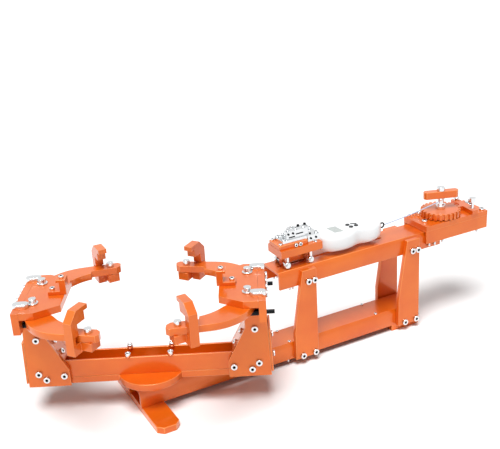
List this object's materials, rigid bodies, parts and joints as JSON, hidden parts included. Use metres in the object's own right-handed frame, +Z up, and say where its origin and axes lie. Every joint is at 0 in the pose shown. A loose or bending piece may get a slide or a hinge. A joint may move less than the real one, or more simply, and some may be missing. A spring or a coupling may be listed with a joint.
{
  "type": "racket stringing machine",
  "caption": "Manual badminton racket stringing machine: turntable with clamping towers, raised tension rail, tension carriage and ratchet winch on a base beam.",
  "frame": {"origin": "on the floor under the turntable's axis, in the front foot's underside", "axes": "+X along the base beam towards the winch, +Z up, +Y away from the side that the picture shows"},
  "size_m": [0.7717, 0.2772, 0.2164],
  "materials": {
    "orange": "orange anodised, satin gloss",
    "steel": "bright plated",
    "black_steel": "blackened",
    "black_plastic": "matte",
    "white": "gloss",
    "cord": "braided"
  },
  "bodies": {
    "stand": {"front_foot": "orange", "base_beam": "orange", "rear_foot": "orange", "pivot_post": "steel", "upright_front_near": "orange", "upright_rear_near": "orange", "upright_rear_far": "orange", "tension_rail": "orange", "head_box": "orange", "head_plate": "orange", "pawl_bolt": "steel", "pawl_spring": "steel", "draw_cord": "cord"},
    "turntable": {"turntable_plate": "orange", "turntable_beam": "orange", "side_plate_left_near": "orange", "side_plate_left_far": "orange", "side_plate_right_near": "orange", "side_plate_right_far": "orange", "gusset_left": "orange", "gusset_right": "orange", "closing_plate_left": "orange", "closing_plate_right": "orange", "top_plate_left": "orange", "top_plate_right": "orange", "end_plate_left": "orange", "end_plate_right": "orange"},
    "post_left": {"centre_post_left": "orange"},
    "post_right": {"centre_post_right": "orange"},
    "arm_ln": {"arm_left_near": "orange"},
    "arm_lf": {"arm_left_far": "orange"},
    "arm_rn": {"arm_right_near": "orange"},
    "arm_rf": {"arm_right_far": "orange"},
    "jaw_ln": {"jaw_left_near": "orange"},
    "jaw_lf": {"jaw_left_far": "orange"},
    "jaw_rn": {"jaw_right_near": "orange"},
    "jaw_rf": {"jaw_right_far": "orange"},
    "screw_ln": {"set_screw_left_near": "black_steel"},
    "screw_lf": {"set_screw_left_far": "black_steel"},
    "screw_rn": {"set_screw_right_near": "black_steel"},
    "screw_rf": {"set_screw_right_far": "black_steel"},
    "winch": {"ratchet_gear": "orange", "spindle": "steel", "crank_handle": "orange"},
    "pawl": {"pawl": "orange"},
    "carriage": {"carriage_block": "orange", "carriage_plate": "orange", "gripper_base": "steel", "scale_body": "white", "scale_hook": "black_steel"},
    "wheel_ln": {"wheel_left_near": "steel"},
    "wheel_lf": {"wheel_left_far": "steel"},
    "wheel_rn": {"wheel_right_near": "steel"},
    "wheel_rf": {"wheel_right_far": "steel"},
    "lever": {"gripper_lever": "steel"},
    "button_1": {"scale_button_1": "black_plastic"},
    "button_2": {"scale_button_2": "black_plastic"},
    "button_3": {"scale_button_3": "black_plastic"}
  },
  "joints": [
    {"name": "turntable_spin", "type": "hinge", "parent": "stand", "child": "turntable", "pos_m": [0, 0, 0.055], "axis": [0, 0, 1], "continuous": true},
    {"name": "arm_swing_ln", "type": "hinge", "parent": "turntable", "child": "arm_ln", "pos_m": [-0.14283, 0.03983, 0.167], "axis": [0, 0, 1], "range_deg": [-5, 5]},
    {"name": "arm_swing_lf", "type": "hinge", "parent": "turntable", "child": "arm_lf", "pos_m": [-0.11406, 0.09475, 0.167], "axis": [0, 0, 1], "range_deg": [-5, 5]},
    {"name": "arm_swing_rn", "type": "hinge", "parent": "turntable", "child": "arm_rn", "pos_m": [0.11406, -0.09475, 0.167], "axis": [0, 0, 1], "range_deg": [-5, 5]},
    {"name": "arm_swing_rf", "type": "hinge", "parent": "turntable", "child": "arm_rf", "pos_m": [0.14283, -0.03983, 0.167], "axis": [0, 0, 1], "range_deg": [-5, 5]},
    {"name": "jaw_swivel_ln", "type": "hinge", "parent": "arm_ln", "child": "jaw_ln", "pos_m": [-0.10003, -0.06216, 0.167], "axis": [0, 0, 1], "range_deg": [-4, 4]},
    {"name": "jaw_swivel_lf", "type": "hinge", "parent": "arm_lf", "child": "jaw_lf", "pos_m": [-0.00584, 0.11762, 0.167], "axis": [0, 0, 1], "range_deg": [-4, 4]},
    {"name": "jaw_swivel_rn", "type": "hinge", "parent": "arm_rn", "child": "jaw_rn", "pos_m": [0.00436, -0.10887, 0.167], "axis": [0, 0, 1], "range_deg": [-4, 4]},
    {"name": "jaw_swivel_rf", "type": "hinge", "parent": "arm_rf", "child": "jaw_rf", "pos_m": [0.09199, 0.0584, 0.167], "axis": [0, 0, 1], "range_deg": [-4, 4]},
    {"name": "set_screw_ln", "type": "slide", "parent": "turntable", "child": "screw_ln", "axis": [-0.8858, 0.4641, 0], "range_m": [-0.0011, 0.0011]},
    {"name": "set_screw_lf", "type": "slide", "parent": "turntable", "child": "screw_lf", "axis": [-0.8858, 0.4641, 0], "range_m": [-0.0011, 0.0011]},
    {"name": "set_screw_rn", "type": "slide", "parent": "turntable", "child": "screw_rn", "axis": [0.8858, -0.4641, 0], "range_m": [-0.0011, 0.0011]},
    {"name": "set_screw_rf", "type": "slide", "parent": "turntable", "child": "screw_rf", "axis": [0.8858, -0.4641, 0], "range_m": [-0.0011, 0.0011]},
    {"name": "post_slide_left", "type": "slide", "parent": "turntable", "child": "post_left", "axis": [-0.8858, 0.4641, 0], "range_m": [-0.007, 0.007]},
    {"name": "post_slide_right", "type": "slide", "parent": "turntable", "child": "post_right", "axis": [0.8858, -0.4641, 0], "range_m": [-0.007, 0.007]},
    {"name": "winch_turn", "type": "hinge", "parent": "stand", "child": "winch", "pos_m": [0.52, 0, 0.175], "axis": [0, 0, 1], "range_deg": [0, 480]},
    {"name": "pawl_swing", "type": "hinge", "parent": "stand", "child": "pawl", "pos_m": [0.572, 0.022, 0.172], "axis": [0, 0, 1], "range_deg": [-5, 5], "deforming": ["pawl_spring"]},
    {"name": "carriage_slide", "type": "slide", "parent": "stand", "child": "carriage", "axis": [1, 0, 0], "range_m": [0, 0.0485], "deforming": ["draw_cord"]},
    {"name": "wheel_roll_ln", "type": "hinge", "parent": "carriage", "child": "wheel_ln", "pos_m": [0.222, -0.015, 0.1623], "axis": [0, 1, 0], "range_deg": [0, 556]},
    {"name": "wheel_roll_lf", "type": "hinge", "parent": "carriage", "child": "wheel_lf", "pos_m": [0.222, 0.015, 0.1623], "axis": [0, 1, 0], "range_deg": [0, 556]},
    {"name": "wheel_roll_rn", "type": "hinge", "parent": "carriage", "child": "wheel_rn", "pos_m": [0.262, -0.015, 0.1623], "axis": [0, 1, 0], "range_deg": [0, 556]},
    {"name": "wheel_roll_rf", "type": "hinge", "parent": "carriage", "child": "wheel_rf", "pos_m": [0.262, 0.015, 0.1623], "axis": [0, 1, 0], "range_deg": [0, 556]},
    {"name": "lever_turn", "type": "hinge", "parent": "carriage", "child": "lever", "pos_m": [0.245, 0.009, 0.205], "axis": [0, 0, 1], "range_deg": [0, 100]},
    {"name": "button_press_1", "type": "slide", "parent": "carriage", "child": "button_1", "axis": [0, 0, -1], "range_m": [0, 0.0009]},
    {"name": "button_press_2", "type": "slide", "parent": "carriage", "child": "button_2", "axis": [0, 0, -1], "range_m": [0, 0.0009]},
    {"name": "button_press_3", "type": "slide", "parent": "carriage", "child": "button_3", "axis": [0, 0, -1], "range_m": [0, 0.0009]}
  ],
  "couplings": [
    {"joint": "set_screw_ln", "follows": "arm_swing_ln", "m_per_rad": -0.0124},
    {"joint": "set_screw_lf", "follows": "arm_swing_lf", "m_per_rad": 0.0124},
    {"joint": "set_screw_rn", "follows": "arm_swing_rn", "m_per_rad": 0.0116},
    {"joint": "set_screw_rf", "follows": "arm_swing_rf", "m_per_rad": -0.0116},
    {"joint": "winch_turn", "follows": "carriage_slide", "rad_per_m": 172.41},
    {"joint": "wheel_roll_ln", "follows": "carriage_slide", "rad_per_m": 200},
    {"joint": "wheel_roll_lf", "follows": "carriage_slide", "rad_per_m": 200},
    {"joint": "wheel_roll_rn", "follows": "carriage_slide", "rad_per_m": 200},
    {"joint": "wheel_roll_rf", "follows": "carriage_slide", "rad_per_m": 200}
  ]
}
